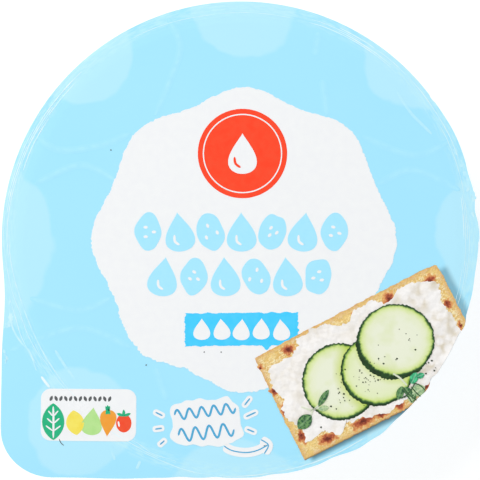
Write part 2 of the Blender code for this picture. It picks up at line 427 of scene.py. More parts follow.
in_bread = add_node(tree, "VectorMath", {0: in_bread}, operation="ABSOLUTE")
shadow = add_node(tree, "MapRange", {0: below, 1: -12 * MM, 2: -9 * MM, 3: 1.0, 4: SHADOW_BESIDE})
for axis, reach in zip("XY", SHADOW_HALF):
    aside = add_node(tree, "SeparateXYZ", {0: in_bread}, output=axis)
    fade = {0: aside, 1: reach - SHADOW_BLUR, 2: reach + SHADOW_BLUR, 3: 1.0, 4: 0.0}
    fade = add_node(tree, "MapRange", fade, interpolation_type="SMOOTHSTEP")
    shadow = add_node(tree, "Math", {0: shadow, 1: fade}, operation="MULTIPLY")
ground = FILM_BLUE
for share, colour in ((petal, FILM_PALE), (cloud, "adeaff"), (band, "c4f1fb"), (shadow, "4d7889")):
    ground = add_node(tree, "MixRGB", {"Fac": share, "Color1": ground, "Color2": colour})
tree.links.new(ground, shader.inputs["Base Color"])

film_piece = finish_piece("film_lid", film_mesh, polyester, 60)
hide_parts("lid")

# The printing inks: each field of print is a thin closed layer under the film's clear lacquer, and
# what is printed over another field lies a little higher. The print is laid out flat, in
# millimetres from the lid's middle, and print_piece brings it to size on the film.

INK_THICKNESS = 0.01 * MM
INK_STEP = 0.025 * MM


def printing_ink(name, colour, mottled):
    """Flexographic ink: a flat colour, faintly mottled, coarser than the print's screen so that it shows."""
    material, tree, shader, place = lacquered(name)
    share = patches(tree, place, 1.6 * MM, 0.35, 0.65, Detail=4.0)
    mixed = add_node(tree, "MixRGB", {"Fac": share, "Color1": colour, "Color2": mottled})
    tree.links.new(mixed, shader.inputs["Base Color"])
    return material


def blot(middle, shape, rings, steps, turn=0):
    """A flat spot. shape takes a point of the unit disc to its place about the middle."""
    mesh = turned([(ring / rings, 0.0) for ring in range(rings + 1)], steps)
    unit = mesh.verts.layers.float_vector.new("unit")
    rotation = Matrix.Rotation(math.radians(turn), 2)
    for vert in mesh.verts:
        vert[unit] = vert.co
        vert.co.xy = Vector(middle) + rotation @ shape(vert.co.xy)
    return mesh


def through(route, share):
    """The place and direction at a share of the way along a smooth curve through a route."""
    leg = min(int(share * (len(route) - 1)), len(route) - 2)
    part = share * (len(route) - 1) - leg
    last = len(route) - 1
    before, start, end, after = (Vector(route[max(0, min(last, leg + step))]) for step in (-1, 0, 1, 2))
    linear_part = end - before
    square_part = 2 * before - 5 * start + 4 * end - after
    cubic_part = 3 * start - before - 3 * end + after
    place = 0.5 * (2 * start + linear_part * part + square_part * part**2 + cubic_part * part**3)
    direction = 0.5 * (linear_part + 2 * square_part * part + 3 * cubic_part * part**2)
    return place, direction.normalized()


def stroke(route, width, steps, taper=0.1, crown=0.0):
    """A ribbon along a route, narrowed to round ends over a share of its length and raised by crown."""
    mesh = bmesh.new()
    bmesh.ops.create_grid(mesh, x_segments=steps, y_segments=2, size=1.0)
    for vert in mesh.verts:
        share, beside = (vert.co.x + 1) / 2, vert.co.y
        near_end = min(1.0, min(share, 1 - share) / taper)
        place, direction = through(route, share)
        fullness = max(0.25, math.sqrt(1 - (1 - near_end) ** 2))
        vert.co.xy = place + Vector((-direction.y, direction.x)) * beside * 0.5 * width * fullness
        vert.co.z = crown * fullness * (1 - abs(beside))
    return mesh


def gather(parts):
    """One mesh of several flat ones, which are used up."""
    whole = bmesh.new()
    for part in parts:
        carried = bpy.data.meshes.new("carried")
        part.to_mesh(carried)
        part.free()
        whole.from_mesh(carried)
        bpy.data.meshes.remove(carried)
    return whole


def close_layer(mesh, lift):
    """Closes a printed layer with a second face, moved off the first by what lift gives for a place."""
    layer = bmesh.ops.extrude_face_region(mesh, geom=mesh.faces[:], use_keep_orig=True)["geom"]
    for vert in layer:
        if isinstance(vert, bmesh.types.BMVert):
            vert.co += lift(vert.co)
    bmesh.ops.recalc_face_normals(mesh, faces=mesh.faces)


def print_piece(name, mesh, ink, level):
    """Brings a flat print to size, lays it on the film as a closed layer and makes it a piece."""
    bmesh.ops.scale(mesh, vec=(MM, MM, MM), verts=mesh.verts)
    for vert in mesh.verts:
        vert.co.z += film_top(vert.co.x, vert.co.y) + level * INK_STEP
    close_layer(mesh, lambda place: Vector((0.0, 0.0, INK_THICKNESS)))
    return finish_piece(name, mesh, ink, 60)


white_ink = printing_ink("opaque white ink", "f2f4f5", "f0f2f4")
light_ink = printing_ink("light blue ink", "a5e7ff", "a8e8ff")
red_ink = printing_ink("red ink", "fd3f14", "fb4820")

# The pale lines of the ground: soft ribbons of tint that run between the petals, each a faint broad
# one with a narrower one on it, and the fine creases beside them, paler partly as pulled film and
# partly as painted highlights.
PALE_LINES = (
    ((-14.5, 44.6), (-12.1, 39.1), (-13.7, 33.1), (-17.1, 25.0)),
    ((-40.9, 20.6), (-36.2, 18.0), (-28.2, 19.0), (-22.1, 21.4)),
    ((-41.3, 11.2), (-32.2, 15.0), (-25.2, 12.0)),
    ((-42.3, -11.8), (-32.6, -14.2), (-26.2, -11.8)),
    ((-46.3, -22.3), (-32.6, -17.8), (-22.1, -21.7)),
    ((15.7, 41.7), (15.1, 37.1)),
    ((16.5, 32.1), (17.0, 29.0), (17.4, 25.0)),
    ((24.6, 20.8), (34.8, 17.0), (42.3, 19.8)),
    ((27.8, 11.2), (34.8, 14.0), (44.3, 9.9)),
    ((-17.0, -25.9), (-14.9, -32.3)),
)
PALE_INKS = (("broad", 1.5, "a8e8ff", 0.3), ("narrow", 0.7, "afebff", 0.9))

# Fine creases between them, paler partly as pulled film and partly as painted highlights, seen on petals too
FINE_CREASES = (
    ((31.6, 29.8), (32.9, 27.6), (34.8, 25.0), (36.9, 22.9), (38.6, 21.2)),
    ((-37.2, -22.3), (-35.4, -25.2), (-33.2, -28.3)),
    ((-26.2, -41.2), (-25.7, -42.9), (-25.2, -44.4)),
    ((-20.1, -44.6), (-20.8, -46.2)),
)
FINE_CREASE_WIDTH = 0.55

for name, width, colour, level in PALE_INKS:
    ink = printing_ink(name + " pale ink", colour, "a7e7ff")
    ribbons = gather([stroke(route, width, 40, 0.2) for route in PALE_LINES])
    print_piece(name + "_pale_lines", ribbons, ink, level)
# Pale ink on the fine creases: partly pulled film, partly painted highlights.
pulled_and_highlight_ink = printing_ink("pulled film print with painted highlights", "c1f0fe", "b4ecff")
pulled = gather([stroke(route, FINE_CREASE_WIDTH, 40, 0.2) for route in FINE_CREASES])
print_piece("fine_creases", pulled, pulled_and_highlight_ink, 0.9)

# The seal's ridges: where the sealer's jaws pressed the film it stands up in fine broken lines, and
# the print on them is pale, partly stretched and partly a painted highlight where the rings catch
# the light. They show in some stretches round the lid, and a few stray ones cross the tab.

# Where the ridges show: direction and half width in degrees, strength, first and last ring
RIDGE_PLACES = (
    (8, 30, 0.6, 0, 2), (37, 16, 0.6, 4, 4), (58, 15, 1.2, 1, 4), (88, 14, 0.6, 1, 4),
    (110, 10, 0.5, 2, 2), (150, 17, 1.1, 0, 4), (168, 14, 0.9, 2, 4), (187, 12, 0.6, 0, 4),
    (208, 18, 0.9, 0, 0), (247, 14, 0.9, 3, 4), (272, 14, 0.9, 4, 4), (297, 20, 1.3, 4, 4),
    (352, 16, 0.6, 0, 3),
)
RIDGE_WIDTH = (0.13, 0.24)
RIDGE_NARROWEST = 0.07
RIDGE_CROWN = 0.008
RIDGE_ARC = (7, 24)
RIDGE_GAP = (0.3, 1.5)
TAB_STREAKS = (45.8, 46.4, 47.0, 47.5)
TAB_STREAK_PLACES = ((206, 16, 0.6), (246, 9, 0.4))


def ridge_arc(radius, start, end, wander):
    """A route along a ridge of the seal, from one direction to another in degrees."""
    route = []
    for place in range(7):
        direction = start + (end - start) * place / 6
        sway = wander * noise.noise(Vector((0.2 * direction, radius, 0.0)))
        reach = radius + seal_drift(direction) / MM + sway
        turn = math.radians(direction)
        route.append((reach * math.cos(turn), reach * math.sin(turn)))
    return route


def broken_ridge(radius, places, wander, draw):
    """The arcs of one ridge all round the lid, as wide as the places where it shows make them."""
    arcs = []
    start = 0.0
    while start < 360:
        end = start + draw.uniform(*RIDGE_ARC)
        middle = (start + end) / 2
        shows = sum(strength * bump(middle, place, half_width) for place, half_width, strength in places)
        width = draw.uniform(*RIDGE_WIDTH) * min(1.0, shows)
        if width > RIDGE_NARROWEST:
            route = ridge_arc(radius, start, end, wander)
            arcs.append(stroke(route, width, 20, 0.3, RIDGE_CROWN))
        start = end + draw.uniform(*RIDGE_GAP)
    return arcs


# Pale ink on the ridges: partly stretched print, partly painted highlights.
whitened_and_highlight_ink = printing_ink("stretched film print with painted highlights", "e8fbff", "ccf4ff")
draw = random.Random(8)
ridges = []
for ring, radius in enumerate(SEAL_RINGS):
    places = [place[:3] for place in RIDGE_PLACES if place[3] <= ring <= place[4]]
    ridges += broken_ridge(radius / MM, places, 0.06, draw)
for radius in TAB_STREAKS:
    ridges += broken_ridge(radius, TAB_STREAK_PLACES, 0.5, draw)
print_piece("seal_ridges", gather(ridges), whitened_and_highlight_ink, 0.8)

# Creases of the film: raised lines where the tab was bent, paler partly as stretched print and partly
# as painted highlights; a painted highlight, the brightest, on the short sharp fold by the label; and
# painted highlights on small crinkles of the film by the cut edge.
CREASES = (
    ((-46.4, -11.5), (-46.3, -15.0), (-45.6, -18.2), (-44.0, -20.8), (-42.3, -22.7), (-41.0, -26.4)),
    ((-45.1, -8.8), (-43.9, -12.9), (-41.9, -18.1), (-39.8, -22.4), (-37.0, -26.9), (-34.7, -30.1)),
)
CREASE_WIDTHS = (0.35, 0.25)
CREASE_CROWN = 0.015
FOLD = ((-40.0, -27.6), (-39.2, -28.7), (-38.3, -29.8))
FOLD_WIDTH = 0.5

# Painted highlights on crinkles by the edge: middle, width and height, and turn in degrees
CRINKLE_HIGHLIGHTS = (
    ((-46.2, -16.1), (0.9, 2.9), -6), ((-47.1, -17.4), (0.8, 1.3), -30),
    ((-47.2, -23.2), (0.4, 1.3), 20), ((-47.1, -24.4), (0.4, 1.2), -25),
    ((43.4, 17.8), (0.5, 2.2), 24), ((44.6, 15.4), (0.35, 1.2), 18),
    ((45.5, 12.6), (0.55, 2.0), 18), ((46.0, 10.6), (0.6, 1.5), 10), ((46.8, 8.4), (0.5, 2.0), 12),
    ((47.0, 5.4), (0.3, 1.4), 6),
)


def round_shape(width, height):
    """An ellipse of a width and height, as a shape for a blot."""
    return lambda point: Vector((point.x * width / 2, point.y * height / 2))


def ragged(shape, tear, seed, grain=1.0):
    """A shape with its edge moved by up to about tear, in tatters a grain wide."""

    def torn(point):
        whole = shape(point)
        pull = noise.noise(Vector((whole.x / grain, whole.y / grain, 7.3 * seed)))
        return whole + point * point.length**3 * tear * 2 * pull

    return torn


creases = [stroke(route, width, 36, 0.2, CREASE_CROWN) for route, width in zip(CREASES, CREASE_WIDTHS)]
# Pale ink on the creases: partly stretched print, partly painted highlights.
crease_and_highlight_ink = printing_ink("creased film print with painted highlights", "cdf4fe", "b8edff")
print_piece("film_creases", gather(creases), crease_and_highlight_ink, 0.8)
# The fold's near-white ink is a painted highlight.
fold_highlight_ink = printing_ink("painted fold highlight print", "f4fcff", "e0f8ff")
print_piece("film_fold_highlight", stroke(FOLD, FOLD_WIDTH, 20, 0.3, CREASE_CROWN), fold_highlight_ink, 1.2)

crinkle_highlights = []
for seed, (middle, size, turn) in enumerate(CRINKLE_HIGHLIGHTS):
    crinkle_highlights.append(blot(middle, ragged(round_shape(*size), 0.4, seed, 0.5), 3, 28, turn))
# Pale patches by the edge: painted highlights on crinkles of the film.
crinkle_highlight_ink = printing_ink("painted crinkle highlight print", "cbf3fe", "b4ecff")
print_piece("edge_crinkle_highlights", gather(crinkle_highlights), crinkle_highlight_ink, 0.3)

# The white field in the middle: opaque white ink in eight soft lobes, its edge torn as by a dry
# brush, most at the lower left.
FIELD_MIDDLE = (0.8, -0.1)
FIELD_RADIUS = 29.7
FIELD_LOBE = 1.05
FIELD_WANDER = 0.35
FIELD_TEAR = 0.6


def field_shape(point):
    """The field's outline in eight lobes, torn more the nearer it is to the lower left."""
    angle = math.atan2(point.y, point.x)
    around = Vector((math.cos(angle), math.sin(angle), 0.0))
    dry = 0.5 + 0.5 * bump(math.degrees(angle), -125, 80)
    tears = 0.7 * noise.noise(16 * around) + 0.7 * noise.noise(70 * around)
    torn = FIELD_WANDER * noise.noise(3 * around) + FIELD_TEAR * dry * tears
    return point * (FIELD_RADIUS + FIELD_LOBE * math.cos(8 * angle) + torn * point.length**6)


print_piece("white_field", blot(FIELD_MIDDLE, field_shape, 22, 720), white_ink, 1)

# The round seal in the field: red ink, with a thin white ring and a white milk drop over it.
SEAL_PRINT_MIDDLE = (0.5, 17.3)
SEAL_PRINT_RADIUS = 9.0
SEAL_PRINT_RING = (7.75, 8.0)
MILK_DROP = (5.4, 8.2)
DROP_GLINT = ((-1.1, 16.6), (-0.9, 15.3), (0.1, 14.5))
GLINT_WIDTH = 0.5


def drop_shape(width, height):
    """A drop of a width and height, its tip up, as a shape for a blot."""
    return lambda point: Vector(
        (point.x * max(0.0, (1 - point.y) / 2) ** 0.7 * 0.75 * width, point.y * height / 2)
    )


seal_disc = blot(SEAL_PRINT_MIDDLE, round_shape(2 * SEAL_PRINT_RADIUS, 2 * SEAL_PRINT_RADIUS), 8, 160)
print_piece("red_seal", seal_disc, red_ink, 2)
seal_ring = turned([(radius, 0.0) for radius in SEAL_PRINT_RING], 160)
bmesh.ops.translate(seal_ring, verts=seal_ring.verts, vec=SEAL_PRINT_MIDDLE + (0.0,))
print_piece("white_ring", seal_ring, white_ink, 3)
milk_drop = blot(SEAL_PRINT_MIDDLE, drop_shape(*MILK_DROP), 6, 60)
print_piece("milk_drop", milk_drop, white_ink, 3)
print_piece("drop_glint", stroke(DROP_GLINT, GLINT_WIDTH, 16, 0.3), red_ink, 4)

# Two rows of light blue curds and drops across the field, painted as with a soft brush, each with
# a white dimple or glint.
ROW_PITCH = 6.25
ROW_HEIGHT = 7.9
CURD_WIDTH = 5.3
CURD_HEIGHT = 7.3
DROP_WIDTH = 5.6
ROW_GLINT = ((-1.0, -0.6), (-0.9, -1.9), (0.0, -2.6))
DIMPLE_SIZE = (0.9, 0.6)
DIMPLES = 3

# Rows: middle of the first shape, and how many shapes
ROWS = (((-18.45, 1.5), 7), ((-15.5, -7.5), 6))


def curd_shape(width, height, seed):
    """A lump of curd of a width and height, with soft knobs that a seed varies."""
    return lambda point: Vector((point.x * width / 2, point.y * height / 2)) * (
        1
        + 0.12 * noise.noise(Vector((point.x * 1.3, point.y * 1.3, 7.3 * seed)))
        + 0.04 * point.length**2 * math.cos(4 * math.atan2(point.y, point.x) + seed)
    )


row_shapes = []
row_dimples = []
for row, ((left, height), count) in enumerate(ROWS):
    for place in range(count):
        middle = Vector((left + place * ROW_PITCH, height))
        seed = 11 * row + place
        if (place + row) % 2:
            drop = drop_shape(DROP_WIDTH, ROW_HEIGHT)
            row_shapes.append(blot(middle, drop, 5, 60, 8 * math.sin(seed)))
            glint = [middle + Vector(offset) for offset in ROW_GLINT]
            row_dimples.append(stroke(glint, GLINT_WIDTH, 14, 0.3))
        else:
            curd = curd_shape(CURD_WIDTH, CURD_HEIGHT, seed)
            row_shapes.append(blot(middle, curd, 5, 60, 20 * math.sin(seed)))
            for dimple in range(DIMPLES):
                offset = Matrix.Rotation(seed + dimple * 2.1, 2) @ Vector((1.1 + 0.3 * math.sin(seed), 0.0))
                row_dimples.append(blot(middle + offset, round_shape(*DIMPLE_SIZE), 1, 14, 57 * seed))
print_piece("curds_and_drops", gather(row_shapes), light_ink, 2)
print_piece("dimples", gather(row_dimples), white_ink, 3)

# The bar under the rows: one stroke of a broad brush in stronger blue, ragged at its ends, with a
# run of paint at its lower edge and five white drops on it.
BAR_MIDDLE = (0.3, -18.1)
BAR_HALF_LENGTH = 11.4
BAR_HALF_HEIGHT = 3.3
BAR_RAGGED = 0.4
BAR_RUN = (5.4, 0.9)
BAR_DROPS = 5
BAR_DROP_SIZE = (3.2, 4.3)
BAR_DROP_PITCH = 4.0

bar_ink = printing_ink("strong blue ink", "3ccdff", "4ad0ff")
bar = bmesh.new()
bmesh.ops.create_grid(bar, x_segments=90, y_segments=44, size=1.0)
for vert in bar.verts:
    along, across = vert.co.x, vert.co.y
    end = 9.0 if along > 0 else 3.0
    bristle = noise.noise(Vector((end, across * 5.0, 0.0)))
    bristle += 0.4 * noise.noise(Vector((end, across * 12.0, 4.0)))
    vert.co.x = BAR_MIDDLE[0] + along * (BAR_HALF_LENGTH + BAR_RAGGED * bristle * abs(along) ** 8)
    edge = 0.25 * noise.noise(Vector((vert.co.x * 0.7, across, 2.0)))
    edge += 0.12 * noise.noise(Vector((vert.co.x * 3.0, across, 8.0)))
    if across < 0:
        edge += BAR_RUN[1] * bump(vert.co.x, BAR_RUN[0], 1.1)
    vert.co.y = BAR_MIDDLE[1] + across * (BAR_HALF_HEIGHT + edge * abs(across) ** 4) + 0.01 * vert.co.x
print_piece("brushed_bar", bar, bar_ink, 2)

bar_drops = []
for place in range(BAR_DROPS):
    aside = BAR_DROP_PITCH * (place - BAR_DROPS // 2)
    middle = (BAR_MIDDLE[0] + aside, BAR_MIDDLE[1] + 0.2 * math.sin(3 * place))
    bar_drops.append(blot(middle, drop_shape(*BAR_DROP_SIZE), 3, 36, 6 * math.sin(2 * place)))
print_piece("bar_drops", gather(bar_drops), white_ink, 3)

# The label on the tab: a white plate with round corners, a row of dark seeds, and a row of fruit and
# vegetables in green, yellow, lime, orange and red inks.
PLATE_MIDDLE = (-30.5, -35.35)
PLATE_SIZE = (19.2, 10.5)
PLATE_CORNER = 2.0
SEED_ROW = (-38.0, -32.0)
SEED_PITCH = 0.98
SEED_SIZE = (0.62, 1.15)
SEEDS = 13
LEAF_MIDDLE = Vector((-37.6, -36.7))
LEAF_SIZE = (4.5, 7.4)
MIDRIB = ((-37.6, -40.0), (-37.55, -36.6), (-37.6, -33.6))
LEMON_MIDDLE = Vector((-33.2, -36.9))
PEAR_MIDDLE = Vector((-29.8, -36.6))
CARROT_MIDDLE = Vector((-26.6, -37.0))
TOMATO_MIDDLE = Vector((-23.4, -37.0))

# Tops of the carrot and the tomato: middle, leaf size, and each leaf's place about it and its turn
GREEN_TOPS = (
    (CARROT_MIDDLE, (0.7, 1.9), ((0.0, 2.6, -24), (0.0, 2.7, 4), (0.0, 2.6, 30))),
    (TOMATO_MIDDLE, (0.6, 1.5), ((-0.7, 1.7, 70), (0.7, 1.7, -70), (0.0, 2.0, 0))),
)


def plate_shape(width, height, corner):
    """A rectangle with round corners, as a shape for a blot."""
    return lambda point: point * rounded_reach(math.atan2(point.y, point.x), width / 2, height / 2, corner)


def leaf_shape(width, height):
    """A leaf pointed at both ends, as a shape for a blot."""
    return lambda point: Vector(
        (point.x * max(0.0, 1 - point.y**2) ** 0.3 * width / 2, point.y * height / 2)
    )


plate = blot(PLATE_MIDDLE, plate_shape(*PLATE_SIZE, PLATE_CORNER), 24, 200, -0.5)
print_piece("white_plate", plate, white_ink, 1)

grey_ink = printing_ink("dark grey ink", "55585a", "606365")
seeds = []
for place in range(SEEDS):
    middle = (SEED_ROW[0] + SEED_PITCH * place, SEED_ROW[1] - 0.01 * place)
    seeds.append(blot(middle, leaf_shape(*SEED_SIZE), 1, 12, 24 if place % 2 else -24))
print_piece("seed_row", gather(seeds), grey_ink, 2)

green_ink = printing_ink("green ink", "14b17a", "22b582")
leaf = blot(LEAF_MIDDLE, leaf_shape(*LEAF_SIZE), 5, 44)
tops = []
for middle, leaf_size, spots in GREEN_TOPS:
    for x, y, turn in spots:
        tops.append(blot(middle + Vector((x, y)), leaf_shape(*leaf_size), 1, 14, turn))
print_piece("green_leaf", leaf, green_ink, 2)
print_piece("green_tops", gather(tops), green_ink, 3)

veins = [stroke(MIDRIB, 0.4, 16, 0.3)]
for level in range(3):
    for side in (-1, 1):
        foot = LEAF_MIDDLE + Vector((0.0, -1.9 + 1.5 * level))
        tip = foot + Vector((side * (1.5 - 0.25 * level), 1.1))
        veins.append(stroke((foot + Vector((0.15 * side, 0.1)), tip), 0.3, 8, 0.4))
print_piece("leaf_veins", gather(veins), white_ink, 3)

# The row beside the leaf: piece, ink, its two tones, middle, shape, steps round it, turn in degrees
PRODUCE = (
    ("lemon", "yellow ink", ("f3df52", "f5e564"), LEMON_MIDDLE, leaf_shape(3.6, 5.0), 40, 8),
    ("pear", "lime ink", ("afe089", "b8e392"), PEAR_MIDDLE, drop_shape(3.9, 5.6), 40, -6),
    ("carrot", "orange ink", ("f29b2c", "f0a33a"), CARROT_MIDDLE, drop_shape(3.1, 5.4), 36, 176),
    ("tomato", "tomato red ink", ("f2461f", "f0522b"), TOMATO_MIDDLE, round_shape(3.1, 3.7), 36, 0),
)
for name, ink, tones, middle, shape, steps, turn in PRODUCE:
    print_piece(name, blot(middle, shape, 3, steps, turn), printing_ink(ink, *tones), 2)
glint = [TOMATO_MIDDLE + Vector(offset) for offset in ((-1.1, 0.4), (-0.9, -0.7))]
print_piece("tomato_glint", stroke(glint, 0.35, 8, 0.4), white_ink, 3)

# The sketch beside the tab: a white patch with two waves in thin blue strokes, rays on both sides
# of it, and a curved arrow below, each blue stroke on a broader white one.
PATCH_MIDDLE = (-7.0, -36.9)
PATCH_SIZE = (14.2, 9.0)
PATCH_CORNER = 2.2
PATCH_TURN = 6
PATCH_RAGGED = 0.55

# Waves: start, end, height and how often each swings
UPPER_WAVE = ((-13.2, -35.4), (-0.9, -33.9), 1.0, 5)
LOWER_WAVE = ((-12.4, -39.5), (-1.2, -38.2), 1.3, 4)
RAYS = (
    ((-17.0, -34.8), (-15.6, -35.5)), ((-17.1, -38.2), (-15.7, -38.0)),
    ((-16.1, -41.3), (-15.2, -40.5)), ((0.9, -33.4), (2.0, -32.0)), ((1.2, -35.7), (3.2, -34.8)),
    ((1.4, -38.2), (2.9, -38.8)),
)
ARROW = ((-3.2, -41.6), (-1.6, -42.5), (1.1, -42.9), (3.4, -42.5), (5.6, -41.4))
ARROW_HEAD = ((4.2, -40.3), (5.7, -41.4), (4.9, -43.1))
RAY_WIDTH = 0.3
ARROW_WIDTH = 0.24
RAY_MARGIN = 0.5
RAY_BAND = 1.3
ARROW_BAND = 1.9
WAVE_WIDTH = 0.44


def wave(start, end, height, count):
    """A route that swings to both sides of a line, count times."""
    start, end = Vector(start), Vector(end)
    aside = Vector((start.y - end.y, end.x - start.x)).normalized()
    eighths = 8 * count
    return [
        start.lerp(end, eighth / eighths) + aside * height * math.sin(eighth * math.pi / 4)
        for eighth in range(eighths + 1)
    ]


def lengthened(route, margin):
    """A straight route with both its ends moved outwards."""
    start, end = Vector(route[0]), Vector(route[1])
    beyond = (end - start).normalized() * margin
    return (start - beyond, end + beyond)


sketch_ink = printing_ink("sketch blue ink", "48a6d3", "54add8")
rounded = plate_shape(*PATCH_SIZE, PATCH_CORNER)
patch = blot(PATCH_MIDDLE, ragged(rounded, PATCH_RAGGED, 2, 2.2), 12, 160, PATCH_TURN)
white_rays = [stroke(lengthened(ray, RAY_MARGIN), RAY_BAND, 12, 0.3) for ray in RAYS]
arrow_band = stroke(ARROW, ARROW_BAND, 30, 0.12)
print_piece("white_patch", gather([patch, arrow_band] + white_rays), white_ink, 1)
print_piece("white_arrow_head", stroke(ARROW_HEAD, ARROW_BAND, 20, 0.2), white_ink, 1.5)

blue_strokes = [stroke(wave(*tier), WAVE_WIDTH, 20 * tier[3], 0.02) for tier in (UPPER_WAVE, LOWER_WAVE)]
blue_strokes += [stroke(ray, RAY_WIDTH, 8, 0.3) for ray in RAYS]
blue_strokes.append(stroke(ARROW, ARROW_WIDTH, 40, 0.05))
print_piece("blue_strokes", gather(blue_strokes), sketch_ink, 2)
print_piece("blue_arrow_head", stroke(ARROW_HEAD, ARROW_WIDTH, 24, 0.1), sketch_ink, 2.5)

# The serving picture, its lowest field: an oblong crispbread, printed out to the lid's cut edge,
# which trims its right end.
BREAD_LENGTH = 41.6
BREAD_WIDTH = 23.1
BREAD_FLARE = 0.9
BREAD_TAPER = 0.4
CORNER_WEAR = 0.7
CRUMB_GRAIN = 0.5 * MM
TRIM_MARGIN = 0.04


def sheet(length, width, cell, roundness, rough):
    """A flat oblong over the bread's middle, with round corners and an edge that rough moves."""
    mesh = bmesh.new()
    across = (round(length / cell), round(width / cell))
    bmesh.ops.create_grid(mesh, x_segments=across[0], y_segments=across[1], size=1.0)
    unit = mesh.verts.layers.float_vector.new("unit")
    rotation = Matrix.Rotation(math.radians(BREAD_TURN), 2)
    for vert in mesh.verts:
        along, beside = vert.co.x, vert.co.y
        vert[unit] = vert.co
        place = Vector((
            along * length / 2 * math.sqrt(1 - roundness * beside**2 / 2),
            beside * width / 2 * math.sqrt(1 - roundness * along**2 / 2)
            + (max(0.0, beside) * BREAD_FLARE - min(0.0, beside) * BREAD_TAPER) * (along + 1) / 2,
        ))
        near_edge = max(abs(along), abs(beside)) ** 6
        place += place.normalized() * rough(place) * near_edge
        wear = CORNER_WEAR if along > 0 and beside > 0 else 0.2 * CORNER_WEAR
        place -= place.normalized() * wear * abs(along * beside) ** 16
        vert.co.xy = Vector(BREAD_MIDDLE) + rotation @ place
    return mesh


def trim_to_lid(mesh):
    """Deletes the faces past the lid's cut edge, and draws those that cross it back to it."""
    reaches = {}
    for vert in mesh.verts:
        direction = math.degrees(math.atan2(vert.co.y, vert.co.x))
        reach = trimmed_edge(direction) / MM - TRIM_MARGIN
        if vert.co.length > reach:
            reaches[vert] = reach
    past = [face for face in mesh.faces if all(vert in reaches for vert in face.verts)]
    bmesh.ops.delete(mesh, geom=past, context="FACES")
    for vert, reach in reaches.items():
        if vert.is_valid:
            vert.co *= reach / vert.co.length


def printed_relief(tree, place, grain, depth):
    """Light and shade on printed lumps, from 1 - depth to 1, as light from the upper left gives them."""
    shifted = add_node(tree, "VectorMath", {0: place, 1: (-0.14 * grain, 0.14 * grain, 0.0)}, operation="ADD")
    heights = []
    for where in (place, shifted):
        lumps = {"Vector": where, "Scale": 1 / grain, "Detail": 3.0, "Roughness": 0.6}
        heights.append(add_node(tree, "TexNoise", lumps, output="Fac"))
    slope = add_node(tree, "Math", {0: heights[0], 1: heights[1]}, operation="SUBTRACT")
    return add_node(tree, "MapRange", {0: slope, 1: -0.06, 2: 0.06, 3: 1 - depth, 4: 1.0})


# Printed crust: golden, granular, with paler and browner crumbs and a browner border, and its
# lower edge dark where it meets its shadow.
bread_ink, tree, shader, place = lacquered("crispbread print")
unit = add_node(tree, "Attribute", {}, output="Vector", attribute_name="unit")
half_size = (BREAD_LENGTH / 2, BREAD_WIDTH / 2, 0.0)
inward = add_node(tree, "VectorMath", {0: unit}, operation="ABSOLUTE")
inward = add_node(tree, "VectorMath", {0: (1.0, 1.0, 0.0), 1: inward}, operation="SUBTRACT")
inward = add_node(tree, "VectorMath", {0: inward, 1: half_size}, operation="MULTIPLY")
from_end, from_side = (add_node(tree, "SeparateXYZ", {0: inward}, output=axis) for axis in "XY")
from_edge = add_node(tree, "Math", {0: from_end, 1: from_side}, operation="MINIMUM")
crumb = patches(tree, place, CRUMB_GRAIN, 0.45, 0.56, Roughness=0.7)
blister = patches(tree, place, 2.6 * MM, 0.45, 0.65, 0.8)
brown = add_node(tree, "MapRange", {0: from_edge, 1: 0.0, 2: 1.3, 3: 0.9, 4: 0.0})
brown = add_node(tree, "Math", {0: brown, 1: crumb}, operation="MULTIPLY")
crust = "e9bd69"
for share, colour in ((crumb, "fff0c0"), (blister, "f7d685"), (brown, "dc9c55")):
    crust = add_node(tree, "MixRGB", {"Fac": share, "Color1": crust, "Color2": colour})
shade = printed_relief(tree, place, CRUMB_GRAIN, 0.2)
crust = add_node(tree, "MixRGB", {"Fac": 1.0, "Color1": crust, "Color2": shade}, blend_type="MULTIPLY")
lower = add_node(tree, "SeparateXYZ", {0: unit}, output="Y")
shaded = add_node(tree, "MapRange", {0: lower, 1: -1.0, 2: -0.97, 3: 0.8, 4: 0.0})
crust = add_node(tree, "MixRGB", {"Fac": shaded, "Color1": crust, "Color2": "4a4238"})
tree.links.new(crust, shader.inputs["Base Color"])


def bread_edge(place):
    """The bread's edge is a little uneven, and rough with crumbs."""
    swing = 0.18 * noise.noise(Vector((place.x * 0.8, place.y * 0.8, 1.0)))
    return swing + 0.14 * noise.noise(Vector((place.x * 2.6, place.y * 2.6, 6.0)))


bread = sheet(BREAD_LENGTH, BREAD_WIDTH, 0.3, 0.02, bread_edge)
trim_to_lid(bread)
print_piece("crispbread", bread, bread_ink, 3)

# Toasted marks on the crispbread: where it was docked it baked brown, darkest in the middle.
TOAST_MARKS = (
    ((9.7, -22.2), (2.3, 1.8)), ((23.4, -14.9), (1.2, 0.8)), ((30.1, -11.9), (2.0, 1.9)),
    ((38.1, -8.3), (2.6, 1.3)), ((41.8, -13.0), (1.2, 2.0)), ((44.3, -17.2), (0.9, 1.3)),
    ((4.1, -26.0), (0.8, 0.7)), ((6.9, -30.5), (1.4, 1.7)), ((9.0, -34.6), (1.3, 2.2)),
    ((12.4, -39.7), (1.7, 2.2)), ((17.8, -40.0), (3.7, 1.8)), ((24.8, -36.7), (4.4, 1.9)),
    ((28.5, -35.2), (2.0, 1.2)), ((32.2, -33.3), (1.9, 1.5)), ((37.4, -29.3), (1.6, 2.0)),
)

